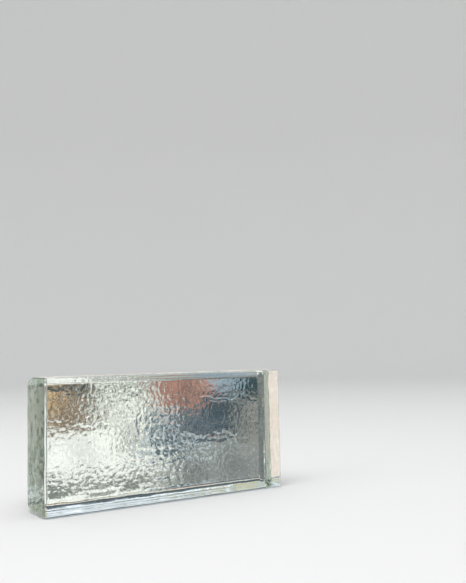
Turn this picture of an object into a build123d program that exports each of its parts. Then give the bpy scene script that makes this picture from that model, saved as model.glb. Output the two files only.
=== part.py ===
from build123d import *
import os

# Hand-cast solid glass block, one pour of clear glass, standing on its long
# narrow bed face as it is laid.
# Frame: +X along the length, -Y towards the smooth face that shows, +Z up.
# The origin is at the middle of the bed, at the centre of the block's footprint.
# All sizes are in millimetres.

LENGTH = 246.0        # along X, end face to end face
DEPTH = 48.5          # along Y, smooth show face to hammered back
HEIGHT = 116.0        # along Z, bed to top

EDGE_R = 2.5          # soft cast edges between the ends and the beds
FRONT_R = 2.0         # small softening round the smooth show face
BACK_R = 7.5          # broader rounding round the hammered back, where the poured
                      # glass drew in as it cooled

FRONT_Y = -DEPTH / 2
BACK_Y = DEPTH / 2


def on_face(edge, y):
    """True for an edge that lies wholly in the plane at this Y."""
    box = edge.bounding_box()
    return abs(box.min.Y - y) < 1e-6 and abs(box.max.Y - y) < 1e-6


def make_block():
    blank = Pos(0, 0, HEIGHT / 2) * Box(LENGTH, DEPTH, HEIGHT)
    # the four corner edges that run from the show face to the back
    blank = fillet(blank.edges().filter_by(Axis.Y), EDGE_R)
    # the broader rounding that closes the back face all round
    blank = fillet([e for e in blank.edges() if on_face(e, BACK_Y)], BACK_R)
    # the small softening all round the show face
    blank = fillet([e for e in blank.edges() if on_face(e, FRONT_Y)], FRONT_R)
    return blank


glass_block = make_block()
glass_block.label = "glass_block"

os.makedirs("parts", exist_ok=True)
export_step(glass_block, "parts/glass_block.step")

size = glass_block.bounding_box().size
print(f"glass_block {size.X:.2f} x {size.Y:.2f} x {size.Z:.2f} mm, "
      f"volume {glass_block.volume / 1000:.1f} cm3, "
      f"solids {len(glass_block.solids())}, faces {len(glass_block.faces())}")
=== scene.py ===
import math

import bpy
import numpy as np
from mathutils import Matrix, Vector


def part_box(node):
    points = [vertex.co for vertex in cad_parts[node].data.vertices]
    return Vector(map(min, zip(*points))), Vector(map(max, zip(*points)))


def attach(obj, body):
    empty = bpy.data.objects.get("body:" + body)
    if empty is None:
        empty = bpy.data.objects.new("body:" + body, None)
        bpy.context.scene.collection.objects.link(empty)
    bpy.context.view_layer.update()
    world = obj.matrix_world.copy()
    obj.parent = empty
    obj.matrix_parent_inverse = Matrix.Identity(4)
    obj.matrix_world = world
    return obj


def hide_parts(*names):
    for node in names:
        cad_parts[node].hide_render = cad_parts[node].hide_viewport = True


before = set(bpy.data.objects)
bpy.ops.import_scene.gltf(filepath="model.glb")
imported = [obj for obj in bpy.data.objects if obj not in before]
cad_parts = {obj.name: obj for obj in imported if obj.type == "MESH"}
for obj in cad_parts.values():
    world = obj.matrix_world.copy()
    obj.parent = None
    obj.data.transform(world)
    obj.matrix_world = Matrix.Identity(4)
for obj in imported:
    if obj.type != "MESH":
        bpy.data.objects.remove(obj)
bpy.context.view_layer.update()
scene = bpy.context.scene

# ---------------------------------------------------------------- camera
# The photograph's own viewing point: to the left of the block, a little above
# its top, turned 34 degrees off the show face's normal.
F_PX = 782.84
PHOTO_W, PHOTO_H = 466, 583
yaw, pitch, roll = (math.radians(a) for a in (34.1156, 4.5352, -1.1846))
# 0.632 m in front of the show face
cam_at = Vector((-0.35930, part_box("glass_block")[0][1] - 0.63194, 0.13303))

fwd = Vector((math.sin(yaw) * math.cos(pitch), math.cos(yaw) * math.cos(pitch), math.sin(pitch)))
level = Vector((math.cos(yaw), -math.sin(yaw), 0.0))
above = level.cross(fwd)
right = math.cos(roll) * level + math.sin(roll) * above
up = -math.sin(roll) * level + math.cos(roll) * above

cam_data = bpy.data.cameras.new("camera")
cam_data.sensor_fit = "AUTO"
cam_data.sensor_width = 36.0
cam_data.lens = F_PX / PHOTO_H * 36.0
cam_data.clip_start = 0.01
cam_data.clip_end = 60.0
cam = bpy.data.objects.new("camera", cam_data)
scene.collection.objects.link(cam)
cam.matrix_world = Matrix((
    (right.x, up.x, -fwd.x, cam_at.x),
    (right.y, up.y, -fwd.y, cam_at.y),
    (right.z, up.z, -fwd.z, cam_at.z),
    (0, 0, 0, 1),
))
scene.camera = cam

# ---------------------------------------------------------------- repeatable noise
def smooth(x, a, b):
    t = np.clip((x - a) / (b - a), 0.0, 1.0)
    return t * t * (3 - 2 * t)


def hash2(ix, iy, seed):
    """Two repeatable numbers from 0 to 1 for each lattice cell."""
    a = (ix * 73856093 ^ iy * 19349663 ^ seed * 83492791) & 0x7FFFFFFF
    a = (a ^ (a >> 13)) * 1274126177 & 0x7FFFFFFF
    a = a ^ (a >> 16)
    b = (a * 1103515245 + 12345) & 0x7FFFFFFF
    b = (b ^ (b >> 11)) * 668265263 & 0x7FFFFFFF
    b = b ^ (b >> 15)
    return (a & 0xFFFFF) / float(0xFFFFF), (b & 0xFFFFF) / float(0xFFFFF)


def value_noise(x, y, cell, seed):
    """Smooth noise from -1 to 1 with features about one cell across."""
    u, v = x / cell, y / cell
    iu, iv = np.floor(u).astype(np.int64), np.floor(v).astype(np.int64)
    fu, fv = u - iu, v - iv
    fu = fu * fu * fu * (fu * (fu * 6 - 15) + 10)
    fv = fv * fv * fv * (fv * (fv * 6 - 15) + 10)
    out = 0
    for du in (0, 1):
        for dv in (0, 1):
            a, _ = hash2(iu + du + 5000, iv + dv + 5000, seed)
            out = out + (2 * a - 1) * (fu if du else 1 - fu) * (fv if dv else 1 - fv)
    return out


def dimples(x, y, cell, seed, sharp=14.0, stray=0.80):
    """Depth of hammer dimples, from 0 on the ridges to 1 at the bottom. Each is a shallow
    bowl round a scattered point, and neighbours meet in a ridge that sharp rounds less."""
    u, v = x / cell, y / cell
    iu, iv = np.floor(u).astype(np.int64), np.floor(v).astype(np.int64)
    total = 0.0
    for du in (-2, -1, 0, 1, 2):
        for dv in (-2, -1, 0, 1, 2):
            a, b = hash2(iu + du + 9000, iv + dv + 9000, seed)
            px, py = iu + du + 0.5 + stray * (a - 0.5), iv + dv + 0.5 + stray * (b - 0.5)
            total = total + np.exp(-sharp * ((u - px) ** 2 + (v - py) ** 2))
    return 1 - np.clip(-np.log(np.maximum(total, 1e-12)) / sharp, 0, 0.6) / 0.6


def crease(x, z, points, width):
    """Height from 0 to 1 of a thin cast wrinkle that follows a line of points."""
    best = np.full(np.shape(x), 1.0)
    for (x0, z0), (x1, z1) in zip(points[:-1], points[1:]):
        dx, dz = x1 - x0, z1 - z0
        t = np.clip(((x - x0) * dx + (z - z0) * dz) / (dx * dx + dz * dz), 0, 1)
        best = np.minimum(best, np.hypot(x - x0 - t * dx, z - z0 - t * dz))
    return np.exp(-(best / width) ** 2)


# ---------------------------------------------------------------- the block's skin
# Metres. A small softening round the show face, a broader rounding round the
# hammered back, and long edges that run from the one to the other.
lo, hi = (Vector(c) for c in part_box("glass_block"))
R_FRONT, R_EDGE, R_BACK = 0.0020, 0.0025, 0.0075


def spaced(a, b, n, edge, m):
    """n steps from a to b, of which m at each end cover the edge."""
    return np.concatenate([
        np.linspace(a, a + edge, m, endpoint=False),
        np.linspace(a + edge, b - edge, n - 2 * m, endpoint=False),
        np.linspace(b - edge, b, m + 1),
    ])


M = 8
NX, NZ = 312, 152
xs = spaced(lo.x, hi.x, NX, 0.0077, M)
zs = spaced(lo.z, hi.z, NZ, 0.0077, M)
# close lines where the back's rounding starts at the right end
xs[-10:-8] = hi.x - 0.00790, hi.x - R_BACK
xs[-8:] = np.linspace(hi.x - 0.00710, hi.x, 8)
ys = np.concatenate([
    np.linspace(lo.y, lo.y + 0.0021, 4, endpoint=False),
    np.linspace(lo.y + 0.0021, hi.y - 0.0077, 15, endpoint=False),
    np.linspace(hi.y - 0.0077, hi.y, 9),
])
nx, ny, nz = len(xs), len(ys), len(zs)
shell = np.zeros((nx, ny, nz), bool)
shell[0], shell[-1] = True, True
shell[:, 0], shell[:, -1] = True, True
shell[:, :, 0], shell[:, :, -1] = True, True
# the show face is smooth, so its middle takes every other line of the lattice
I, K = np.meshgrid(np.arange(nx), np.arange(nz), indexing="ij")
middle = (I > M) & (I < nx - 1 - M) & (K > M) & (K < nz - 1 - M)
shell[:, 0, :] &= ~(middle & ((I % 2 == 1) | (K % 2 == 1)))
at = np.argwhere(shell)
index = -np.ones((nx, ny, nz), np.int64)
index[shell] = np.arange(len(at))
P = np.stack([xs[at[:, 0]], ys[at[:, 1]], zs[at[:, 2]]], 1)


def skin():
    faces = []

    def sheet(g, flip, keep=None):
        a, b, c, d = g[:-1, :-1], g[1:, :-1], g[1:, 1:], g[:-1, 1:]
        q = np.stack([a, d, c, b] if flip else [a, b, c, d], -1)
        faces.extend((q[keep] if keep is not None else q.reshape(-1, 4)).tolist())

    front = index[:, 0, :]
    i, k = np.meshgrid(np.arange(nx - 1), np.arange(nz - 1), indexing="ij")
    rim = ~((i >= M) & (i < nx - 1 - M) & (k >= M) & (k < nz - 1 - M))
    sheet(front, False, rim)
    for i in range(M, nx - 1 - M, 2):
        for k in range(M, nz - 1 - M, 2):
            loop = [(i, k)]
            if k == M:
                loop.append((i + 1, k))
            loop.append((i + 2, k))
            if i + 2 == nx - 1 - M:
                loop.append((i + 2, k + 1))
            loop.append((i + 2, k + 2))
            if k + 2 == nz - 1 - M:
                loop.append((i + 1, k + 2))
            loop.append((i, k + 2))
            if i == M:
                loop.append((i, k + 1))
            faces.append([int(front[p]) for p in loop])
    sheet(index[:, -1, :], True)
    sheet(index[0, :, :], True)
    sheet(index[-1, :, :], False)
    sheet(index[:, :, 0], True)
    sheet(index[:, :, -1], False)
    return faces


faces = skin()

# The rounding: each point goes out from an inner box by the local radius.
r_long = R_EDGE + (R_BACK - R_EDGE) * smooth(P[:, 1], hi.y - 0.016, hi.y - R_BACK)
inner_lo = np.stack([lo.x + r_long, np.full(len(P), lo.y + R_FRONT), lo.z + r_long], 1)
inner_hi = np.stack([hi.x - r_long, np.full(len(P), hi.y - R_BACK), hi.z - r_long], 1)
q = np.clip(P, inner_lo, inner_hi)
o = P - q
r_y = np.where(o[:, 1] < 0, R_FRONT, R_BACK)
scale = np.stack([r_long, r_y, r_long], 1)
N = o / scale
N = N / np.maximum(np.linalg.norm(N, axis=1, keepdims=True), 1e-9)
S = q + scale * N
# At the right end the rounding starts with a crisp break and runs nearly flat.
FLAT = math.radians(33)
turn = np.arctan2(np.maximum(o[:, 0], 0) / r_long, np.maximum(o[:, 1], 1e-9) / R_BACK)
turn = np.where((o[:, 0] > 0) & (o[:, 1] > 0), turn, 0)
flat = R_BACK * (1 - math.cos(FLAT) / np.cos(turn - FLAT)) * (turn < 2 * FLAT)
flat = flat * smooth(S[:, 2], lo.z, lo.z + 0.007) * (1 - smooth(S[:, 2], hi.z - 0.007, hi.z))
S = S - N * flat[:, None]

# The relief, in metres below the plain surface, so nothing stands proud of it.
x, y, z = S[:, 0], S[:, 1], S[:, 2]
w_back = np.clip(N[:, 1], 0, 1) ** 1.2
w_back = np.maximum(w_back, 0.9 * np.clip(flat / 0.0008, 0, 1))
w_front = np.clip(-N[:, 1], 0, 1) ** 2
w_end = np.clip(np.abs(N[:, 0]), 0, 1) ** 2
w_bed = np.clip(np.abs(N[:, 2]), 0, 1) ** 2

# hammered back: broad dimples and fine ones between them, drawn out upright and
# stronger towards the left, large and scale-like right of the middle, on the slow swell
# of the pour
wx = x + 0.0012 * value_noise(x, z, 0.009, 3) + 0.0004 * value_noise(x, z, 0.0035, 6)
wz = z + 0.0012 * value_noise(x, z, 0.009, 4) + 0.0004 * value_noise(x, z, 0.0035, 7)
lively = 1.0 - 0.25 * smooth(x, 0.050, 0.090) * (1 - 0.5 * smooth(z, 0.070, 0.100))
lively = lively * (0.85 + 0.25 * value_noise(x, z, 0.030, 21))
lively = lively * (1 - 0.25 * smooth(z, 0.078, 0.088) * (1 - smooth(x, -0.083, -0.068)))
lively = lively * (1 - 0.30 * smooth(x, -0.010, 0.030) * (1 - smooth(z, 0.030, 0.044)))
lively = lively * (1 - 0.40 * smooth(-x, 0.030, 0.055) * smooth(-z, -0.066, -0.054) * smooth(z, 0.020, 0.030))
# calmer right of the middle, and along the top there
calm = smooth(x, 0.022, 0.038) * (1 - smooth(x, 0.086, 0.098)) * smooth(z, 0.055, 0.063) * (1 - smooth(z, 0.082, 0.092))
lively = lively * (1 - 0.50 * calm)
lively = lively * (1 - (0.55 - 0.20 * smooth(x, 0.058, 0.074)) * smooth(x, -0.014, 0.004) * smooth(z, 0.080, 0.090))
scaly = smooth(x, -0.030, -0.012) * (1 - smooth(x, 0.060, 0.080)) * smooth(z, 0.038, 0.046)
scaly = scaly * (1 - smooth(z + 0.34 * np.maximum(x - 0.010, 0), 0.061, 0.075))
scallop = smooth(x, -0.020, -0.005) * (1 - smooth(x, 0.026, 0.040)) * (1 - smooth(z, 0.038, 0.046))
chop = smooth(x, 0.044, 0.054) * (1 - smooth(x, 0.086, 0.096)) * smooth(z, 0.036, 0.042) * (1 - smooth(z, 0.056, 0.063))
broad = dimples(wx * 1.06, wz * 0.86, 0.0050, 11)
scales = dimples(wx - 0.22 * wz, wz * 1.00, 0.0088, 13, 22.0, 0.45)
fine = dimples(wx * 1.12, wz * 0.78, 0.0028, 12, 12.0)
low = smooth(-z, -0.030, -0.004)
sag = value_noise(x * 0.45, z * 1.7, 0.0064, 14)
swell = value_noise(x, z, 0.034, 5)
# the back falls away a little before its lower edge, where the pour drew in
droop = np.exp(-np.maximum(z - lo.z - R_BACK, 0) / 0.0024)
lively = lively * (1 - 0.45 * low * (1 - smooth(x, 0.005, 0.032)))
back = (0.000115 * lively * (1 - scaly) * (1 - 0.6 * scallop) * broad
        + (0.000260 * scaly + 0.000190 * scallop) * scales
        + 0.000075 * lively * fine + 0.00012 * (0.5 + 0.5 * swell)
        + 0.000070 * chop * dimples(wx * 0.85, wz * 1.20, 0.0043, 17, 18.0)
        + 0.00030 * low * (1 - smooth(x, 0.005, 0.032)) * (0.5 + 0.5 * sag)
        + 0.00016 * droop
        + 0.00030 * np.exp(-np.maximum(z - lo.z, 0) / 0.007) * (0.5 + 0.5 * value_noise(x, z * 0.6, 0.0075, 71)))
marks = [
    ([(0.046, 0.0912), (0.056, 0.0905), (0.066, 0.0885), (0.078, 0.0880), (0.091, 0.0840)], 0.0007),
    ([(0.060, 0.0860), (0.070, 0.0850), (0.082, 0.0865), (0.092, 0.0885)], 0.0007),
    ([(0.060, 0.0480), (0.068, 0.0455), (0.076, 0.0475), (0.084, 0.0500), (0.089, 0.0560)], 0.0010),
    ([(0.056, 0.0520), (0.066, 0.0515), (0.075, 0.0530), (0.083, 0.0450)], 0.0009),
    ([(0.072, 0.0580), (0.079, 0.0565), (0.086, 0.0520), (0.088, 0.0440)], 0.0009),
]
for line, width in marks:
    back = back + 0.13 * width * crease(wx, wz, line, width)
# smooth show face: a slow wave left by the fire-polish
front = (0.00007 * (0.5 + 0.5 * value_noise(x, z, 0.041, 31))
         + 0.000016 * (0.5 + 0.5 * value_noise(x, z, 0.014, 32)))
# cast ends: upright chill marks over a coarser mottle
end = (0.00040 * (0.5 + 0.5 * value_noise(y, z * 0.60, 0.0055, 41))
       + 0.00024 * (0.5 + 0.5 * value_noise(y, z, 0.0125, 42))
       + 0.00015 * (0.5 + 0.5 * value_noise(y, z, 0.0034, 43)))
end = np.where(x > 0, 0.64, 1.0) * end
# the left end falls away a little towards the back
end = end + np.where(x < 0, 0.00035, 0.0) * smooth(y, hi.y - 0.020, hi.y - 0.002)
bed = (0.00008 * (0.5 + 0.5 * value_noise(x, y, 0.016, 51))
       + 0.00014 * (0.5 + 0.5 * value_noise(x * 0.55, y, 0.0044, 52)))
# the cast edges run slightly uneven
w_edge = np.clip(1 - np.max(np.abs(N), axis=1), 0, 0.3) / 0.3
edge = (0.00022 * (0.5 + 0.5 * value_noise(x + y, z - y, 0.021, 61))
        + 0.00008 * (0.5 + 0.5 * value_noise(x + y, z - y, 0.006, 62)))

depth = w_back * back + w_front * front + w_end * end + w_bed * bed + w_edge * edge
S = S - N * depth[:, None]

mesh = bpy.data.meshes.new("glass_block_cast")
mesh.from_pydata(S.tolist(), [], faces)
mesh.validate()
mesh.update()
mesh.polygons.foreach_set("use_smooth", [True] * len(mesh.polygons))
# the break at the right end of the back is a true edge
on_break = (at[:, 0] == nx - 9) & (at[:, 1] == ny - 1) & (at[:, 2] > M) & (at[:, 2] < nz - 1 - M)
ends = np.empty(len(mesh.edges) * 2, np.int32)
mesh.edges.foreach_get("vertices", ends)
crisp = mesh.attributes.new("sharp_edge", "BOOLEAN", "EDGE")
crisp.data.foreach_set("value", on_break[ends.reshape(-1, 2)].all(1))
block = bpy.data.objects.new("glass_block_cast", mesh)
scene.collection.objects.link(block)

# ---------------------------------------------------------------- glass
glass = bpy.data.materials.new("cast_glass")
glass.use_nodes = True
nt = glass.node_tree
nt.nodes.clear()
out = nt.nodes.new("ShaderNodeOutputMaterial")
bsdf = nt.nodes.new("ShaderNodeBsdfPrincipled")
bsdf.inputs["Base Color"].default_value = (0.985, 0.995, 0.985, 1)
bsdf.inputs["Transmission Weight"].default_value = 1.0
bsdf.inputs["IOR"].default_value = 1.52
nt.links.new(bsdf.outputs["BSDF"], out.inputs["Surface"])
absorb = nt.nodes.new("ShaderNodeVolumeAbsorption")
absorb.inputs["Color"].default_value = (0.53, 0.63, 0.51, 1)
absorb.inputs["Density"].default_value = 4.6
nt.links.new(absorb.outputs["Volume"], out.inputs["Volume"])

coord = nt.nodes.new("ShaderNodeTexCoord")
grain = nt.nodes.new("ShaderNodeTexNoise")
grain.inputs["Scale"].default_value = 600.0
grain.inputs["Detail"].default_value = 1.0
nt.links.new(coord.outputs["Object"], grain.inputs["Vector"])
haze = nt.nodes.new("ShaderNodeMapRange")
haze.inputs["From Min"].default_value = 0.35
haze.inputs["From Max"].default_value = 0.75
haze.inputs["To Min"].default_value = 0.004
haze.inputs["To Max"].default_value = 0.02
nt.links.new(grain.outputs["Fac"], haze.inputs["Value"])
nt.links.new(haze.outputs["Result"], bsdf.inputs["Roughness"])
# the fine chill texture is on every face but the fire-polished one
place = nt.nodes.new("ShaderNodeSeparateXYZ")
nt.links.new(coord.outputs["Object"], place.inputs[0])
polish = nt.nodes.new("ShaderNodeMapRange")
polish.inputs["From Min"].default_value = lo.y + 0.001
polish.inputs["From Max"].default_value = lo.y + 0.006
polish.inputs["To Min"].default_value = 0.03
polish.inputs["To Max"].default_value = 0.40
nt.links.new(place.outputs[1], polish.inputs["Value"])
bump = nt.nodes.new("ShaderNodeBump")
bump.inputs["Distance"].default_value = 0.00012
nt.links.new(polish.outputs["Result"], bump.inputs["Strength"])
nt.links.new(grain.outputs["Fac"], bump.inputs["Height"])
nt.links.new(bump.outputs["Normal"], bsdf.inputs["Normal"])
block.data.materials.append(glass)

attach(block, "root")
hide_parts("glass_block")

# ---------------------------------------------------------------- floor and backdrop
def sweep():
    """A pale sheet that lies flat and curves up far behind, all round."""
    rings, rows = 96, []
    for i in range(60):
        t = i / 59
        if t < 0.5:
            rad, h = 3.2 * t / 0.5, 0.0
        else:
            a = (t - 0.5) / 0.5 * math.pi / 2
            rad, h = 3.2 + 1.8 * math.sin(a), 1.8 * (1 - math.cos(a))
        rows.append((rad, h))
    rows.append((5.0, 5.0))
    verts = [(0.0, 0.0, 0.0)]
    for rad, h in rows[1:]:
        for j in range(rings):
            a = 2 * math.pi * j / rings
            verts.append((rad * math.cos(a), rad * math.sin(a), h))
    cells = [(0, 1 + j, 1 + (j + 1) % rings) for j in range(rings)]
    for i in range(len(rows) - 2):
        for j in range(rings):
            a, b = 1 + i * rings + j, 1 + i * rings + (j + 1) % rings
            cells.append((a, a + rings, b + rings, b))
    m = bpy.data.meshes.new("studio_sweep")
    m.from_pydata(verts, [], cells)
    for p in m.polygons:
        p.use_smooth = True
    return bpy.data.objects.new("studio_sweep", m)


floor = sweep()
floor.location.z = -0.0002
scene.collection.objects.link(floor)
pale = bpy.data.materials.new("pale_paper")
pale.use_nodes = True
pb = pale.node_tree.nodes["Principled BSDF"]
pb.inputs["Base Color"].default_value = (0.80, 0.80, 0.79, 1)
pb.inputs["Roughness"].default_value = 0.9
pb.inputs["Specular IOR Level"].default_value = 0.0
floor.data.materials.append(pale)
floor.visible_transmission = False
floor.visible_glossy = False

# ---------------------------------------------------------------- light
def area(name, at, aim, size, power, colour=(1, 1, 1), shape_y=None):
    data = bpy.data.lights.new(name, "AREA")
    data.shape = "RECTANGLE"
    data.size, data.size_y = size, shape_y or size
    data.energy = power
    data.color = colour
    ob = bpy.data.objects.new(name, data)
    ob.location = at
    ob.rotation_euler = (Vector(aim) - Vector(at)).to_track_quat("-Z", "Y").to_euler()
    scene.collection.objects.link(ob)
    ob.visible_camera = False
    ob.visible_transmission = False
    ob.visible_glossy = False
    return ob


area("soft_top", (-0.6, -0.8, 2.6), (0, 0, 0), 2.0, 37)
area("soft_left", (-2.4, -0.2, 1.4), (0, 0, 0.05), 1.8, 14)

# What the glass looks out at: soft light and dark fields all round, set by azimuth from
# +Y towards +X and by elevation, both in degrees. These are painted reflections and
# refractions: only rays through or off the glass meet them, nothing else in the scene sees them.
world = bpy.data.worlds.new("studio")
scene.world = world
world.use_nodes = True
wt = world.node_tree
wt.nodes.clear()


def link(a, b):
    wt.links.new(a, b)


def calc(op, *args):
    node = wt.nodes.new("ShaderNodeMath")
    node.operation = op
    for i, a in enumerate(args):
        if isinstance(a, (int, float)):
            node.inputs[i].default_value = a
        else:
            link(a, node.inputs[i])
    return node.outputs[0]


def ramp(value, a, b, to0=0.0, to1=1.0):
    node = wt.nodes.new("ShaderNodeMapRange")
    node.interpolation_type = "SMOOTHSTEP"
    link(value, node.inputs["Value"])
    node.inputs["From Min"].default_value = a
    node.inputs["From Max"].default_value = b
    node.inputs["To Min"].default_value = to0
    node.inputs["To Max"].default_value = to1
    return node.outputs[0]


def band(value, a, b, soft):
    """1 between a and b, fading over soft at each side."""
    return calc("MULTIPLY", ramp(value, a - soft, a + soft), ramp(value, b - soft, b + soft, 1.0, 0.0))


def rgb(c):
    node = wt.nodes.new("ShaderNodeRGB")
    node.outputs[0].default_value = (*c, 1)
    return node.outputs[0]


def over(base, mask, colour):
    mix = wt.nodes.new("ShaderNodeMix")
    mix.data_type = "RGBA"
    if isinstance(mask, (int, float)):
        mix.inputs[0].default_value = mask
    else:
        link(mask, mix.inputs[0])
    link(rgb(base) if isinstance(base, tuple) else base, mix.inputs[6])
    link(rgb(colour) if isinstance(colour, tuple) else colour, mix.inputs[7])
    return mix.outputs[2]


def cloud(sx, sy, offset, detail=2.0):
    """Soft noise about 0.5 over the directions, sx and sy features to the degree."""
    xyz = wt.nodes.new("ShaderNodeCombineXYZ")
    link(calc("MULTIPLY", az0, sx), xyz.inputs[0])
    link(calc("MULTIPLY", el0, sy), xyz.inputs[1])
    xyz.inputs[2].default_value = offset
    node = wt.nodes.new("ShaderNodeTexNoise")
    node.inputs["Scale"].default_value = 1.0
    node.inputs["Detail"].default_value = detail
    link(xyz.outputs[0], node.inputs["Vector"])
    return node.outputs["Fac"]


tc = wt.nodes.new("ShaderNodeTexCoord")
sep = wt.nodes.new("ShaderNodeSeparateXYZ")
link(tc.outputs["Generated"], sep.inputs[0])
az0 = calc("MULTIPLY", calc("ARCTAN2", sep.outputs[0], sep.outputs[1]), 180 / math.pi)
el0 = calc("MULTIPLY", calc("ARCSINE", sep.outputs[2]), 180 / math.pi)
# uneven outlines
az = calc("ADD", az0, calc("MULTIPLY", calc("SUBTRACT", cloud(0.9, 0.9, 3.1), 0.5), 2.2))
el = calc("ADD", el0, calc("MULTIPLY", calc("SUBTRACT", cloud(0.9, 0.9, 8.4), 0.5), 1.6))

DARK, MID, LIGHT = (0.15, 0.165, 0.165), (0.42, 0.43, 0.42), (0.93, 0.91, 0.85)
COOL, SLATE = (0.92, 1.02, 1.18), (0.10, 0.13, 0.15)

# all round: upright light and dark fields, a dark belt, a bright cool dome, pale below
painted_reflection = over(MID, ramp(cloud(0.055, 0.004, 1.7, 1.0), 0.44, 0.60), LIGHT)
painted_reflection = over(painted_reflection, ramp(cloud(0.075, 0.006, 5.2, 1.0), 0.55, 0.66), DARK)
painted_reflection = over(painted_reflection, ramp(el, -12, -22), over((0.74, 0.74, 0.72), ramp(cloud(0.25, 0.25, 6.6), 0.45, 0.62), (0.50, 0.51, 0.50)))
painted_reflection = over(painted_reflection, ramp(el, 30, 44), over(COOL, ramp(cloud(0.10, 0.12, 9.3), 0.50, 0.64), (0.50, 0.56, 0.62)))

# behind the show face, as seen from its left: bright low down at the left, broken light
# in the middle, warm and cool dark fields above and to the right
white = (1.05, 1.06, 1.02)
pepper = over((1.04, 1.05, 0.99), ramp(cloud(1.15, 0.80, 2.2, 2.0), 0.50, 0.55), (0.16, 0.185, 0.155))
# painted rippled light and shade: dark grey with pale wavy streaks, seen only through the glass where its lower part
# ripples
painted_ripple_light = over((0.29, 0.32, 0.29), ramp(cloud(0.50, 1.20, 4.4, 2.0), 0.515, 0.59), (1.02, 1.02, 0.98))
earth = over((0.235, 0.155, 0.10), ramp(cloud(0.75, 0.7, 5.5, 2.0), 0.48, 0.58), (0.84, 0.75, 0.61))
gold = over((0.60, 0.40, 0.20), ramp(cloud(1.0, 1.0, 1.3, 2.0), 0.48, 0.60), (0.80, 0.66, 0.45))
# painted light and shade in cells: dark blue-grey with pale rounded patches, seen only through the glass where its back
# is scaly
scale = over((0.10, 0.15, 0.18), ramp(cloud(0.85, 0.90, 3.7, 2.0), 0.43, 0.53), (0.64, 0.71, 0.75))
slate = over((0.075, 0.105, 0.13), ramp(cloud(0.9, 0.6, 6.1, 2.0), 0.46, 0.62), (0.20, 0.235, 0.265))
# painted flecked shade: near-black with pale flecks, seen only through the glass
painted_flecked_shade = over((0.035, 0.05, 0.06), ramp(cloud(1.4, 1.6, 7.9, 2.0), 0.44, 0.52), (0.54, 0.58, 0.57))
salmon = over((0.56, 0.295, 0.23), ramp(cloud(1.1, 1.0, 4.9, 2.0), 0.46, 0.58), (0.26, 0.185, 0.165))
steel = over((0.28, 0.36, 0.43), ramp(cloud(0.9, 0.9, 1.9, 2.0), 0.46, 0.58), (0.41, 0.49, 0.56))
teal = (0.015, 0.055, 0.07)
grey = over((0.39, 0.41, 0.405), ramp(cloud(0.50, 0.7, 8.8, 1.0), 0.44, 0.62), (0.24, 0.26, 0.26))
taupe = over((0.31, 0.315, 0.30), ramp(cloud(0.7, 0.7, 2.9, 1.0), 0.46, 0.58), (0.13, 0.14, 0.135))
edge_on = over((0.27, 0.29, 0.285), ramp(cloud(1.1, 1.0, 4.2, 1.0), 0.44, 0.58), (0.145, 0.165, 0.17))
side_on = over((1.06, 0.96, 0.98), ramp(cloud(0.16, 0.22, 2.7, 1.0), 0.40, 0.62), (0.80, 0.73, 0.74))
cream = over((1.16, 1.09, 1.02), ramp(cloud(0.8, 2.0, 6.6, 2.0), 0.50, 0.57), (0.76, 0.57, 0.49))
end_on = over((1.02, 1.02, 0.95), ramp(cloud(0.16, 0.30, 5.9, 1.0), 0.47, 0.54), (0.14, 0.16, 0.14))
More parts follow.
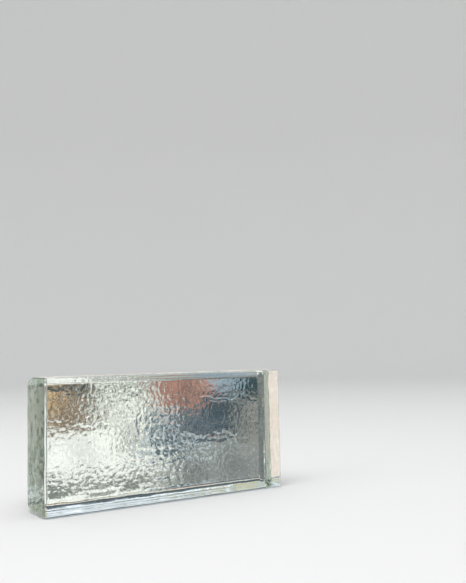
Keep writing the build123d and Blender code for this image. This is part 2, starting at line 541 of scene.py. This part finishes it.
FIELDS = [
    # az0, az1, el0, el1, softness, colour
    # low down, under the same fields
    (12.0, 24.5, -36.0, -10.5, 0.5, white),
    (24.5, 28.2, -36.0, -10.5, 0.5, pepper),
    (28.2, 32.5, -36.0, -15.0, 0.5, (0.50, 0.54, 0.50)),
    (28.2, 32.5, -15.0, -10.5, 0.5, salmon),
    (32.5, 38.0, -36.0, -10.5, 0.5, steel),
    # level with the face
    (27.5, 38.0, -11.0, -6.7, 0.6, grey),
    (33.6, 38.0, -6.9, -0.6, 0.4, taupe),
    (19.6, 29.5, -9.1, -0.6, 0.7, white),
    (19.6, 29.4, -10.6, -8.2, 0.4, painted_ripple_light),
    (25.2, 29.0, -6.9, -4.5, 0.5, pepper),
    (23.2, 28.4, -5.1, -0.6, 0.4, pepper),
    (19.6, 23.4, -5.0, -3.8, 0.4, earth),
    (19.6, 23.2, -4.2, -2.4, 0.3, earth),
    (19.6, 21.3, -3.9, -2.4, 0.3, gold),
    (19.6, 23.5, -2.5, -0.8, 0.2, (0.12, 0.125, 0.115)),
    (28.5, 32.8, -4.0, -0.6, 0.3, salmon),
    (27.0, 32.6, -7.3, -4.6, 0.4, scale),
    (28.2, 29.8, -5.0, -3.5, 0.3, scale),
    (30.2, 34.0, -5.6, -3.9, 0.3, slate),
    (32.2, 34.2, -4.2, -3.0, 0.3, slate),
    (32.3, 34.2, -6.8, -5.5, 0.3, painted_flecked_shade),
    (32.4, 34.9, -3.0, -0.6, 0.3, steel),
    (34.6, 36.6, -3.1, -1.1, 0.3, teal),
    # a pale strip over them and a dark field above it
    (12.0, 48.0, -0.7, 3.0, 0.3, (0.98, 0.93, 0.84)),
    (12.0, 48.0, 3.0, 25.0, 0.6, SLATE),
    (12.0, 48.0, 25.0, 48.0, 1.0, COOL),
    # further right, and left of them
    (38.6, 62.0, -13.0, -2.8, 0.5, white),
    (38.6, 75.0, -2.8, 3.0, 0.5, (0.40, 0.38, 0.33)),
    (-6.0, 19.4, -11.0, 1.0, 0.5, edge_on),
    # to the left: the right end mirrors the first, the left end reflects the second
    (-62.0, -27.0, -24.0, 4.0, 2.0, cream),
    (-27.0, -5.0, -30.0, 20.0, 1.0, end_on),
    (-17.0, -5.0, -30.0, 20.0, 1.5, white),
    # behind the camera's side
    (-150.0, -62.0, -24.0, 6.0, 3.0, side_on),
    (-150.0, -14.0, 20.0, 46.0, 2.0, COOL),
    (-179.0, -84.0, 45.0, 60.0, 1.5, (0.92, 0.80, 0.60)),
    # high on the right, which the foot mirrors
    (84.0, 130.0, 34.0, 55.0, 2.0, (0.92, 0.80, 0.60)),
    (84.0, 170.0, 56.0, 84.0, 2.0, (1.60, 1.62, 1.90)),
    (128.0, 179.0, -12.0, 58.0, 1.5, SLATE),
    (128.0, 179.0, -48.0, -12.0, 1.5, (1.02, 1.05, 1.12)),
]
for a0, a1, e0, e1, s, c in FIELDS:
    painted_reflection = over(painted_reflection, calc("MULTIPLY", band(az, a0, a1, s), band(el, e0, e1, s)), c)

# every field is a little uneven
uneven = ramp(cloud(0.75, 0.75, 7.7, 2.0), 0.34, 0.66, 0.80, 1.15)
scaled = wt.nodes.new("ShaderNodeVectorMath")
scaled.operation = "SCALE"
link(painted_reflection, scaled.inputs[0])
link(uneven, scaled.inputs["Scale"])
painted_reflection = scaled.outputs[0]

# only rays through or off the glass see the painted reflection fields; the floor, the backdrop and the camera see plain
# pale
lp = wt.nodes.new("ShaderNodeLightPath")
through = calc("MAXIMUM", lp.outputs["Is Transmission Ray"], lp.outputs["Is Glossy Ray"])
final = over((0.80, 0.81, 0.83), through, painted_reflection)
bg = wt.nodes.new("ShaderNodeBackground")
link(final, bg.inputs["Color"])
bg.inputs["Strength"].default_value = 1.0
wo = wt.nodes.new("ShaderNodeOutputWorld")
link(bg.outputs[0], wo.inputs["Surface"])

# ---------------------------------------------------------------- render look
scene.view_settings.view_transform = "Standard"
scene.view_settings.look = "None"
scene.view_settings.exposure = 0.0
scene.cycles.max_bounces = 24
scene.cycles.transmission_bounces = 24
scene.cycles.glossy_bounces = 24
scene.cycles.use_denoising = True
scene.cycles.sample_clamp_indirect = 6.0
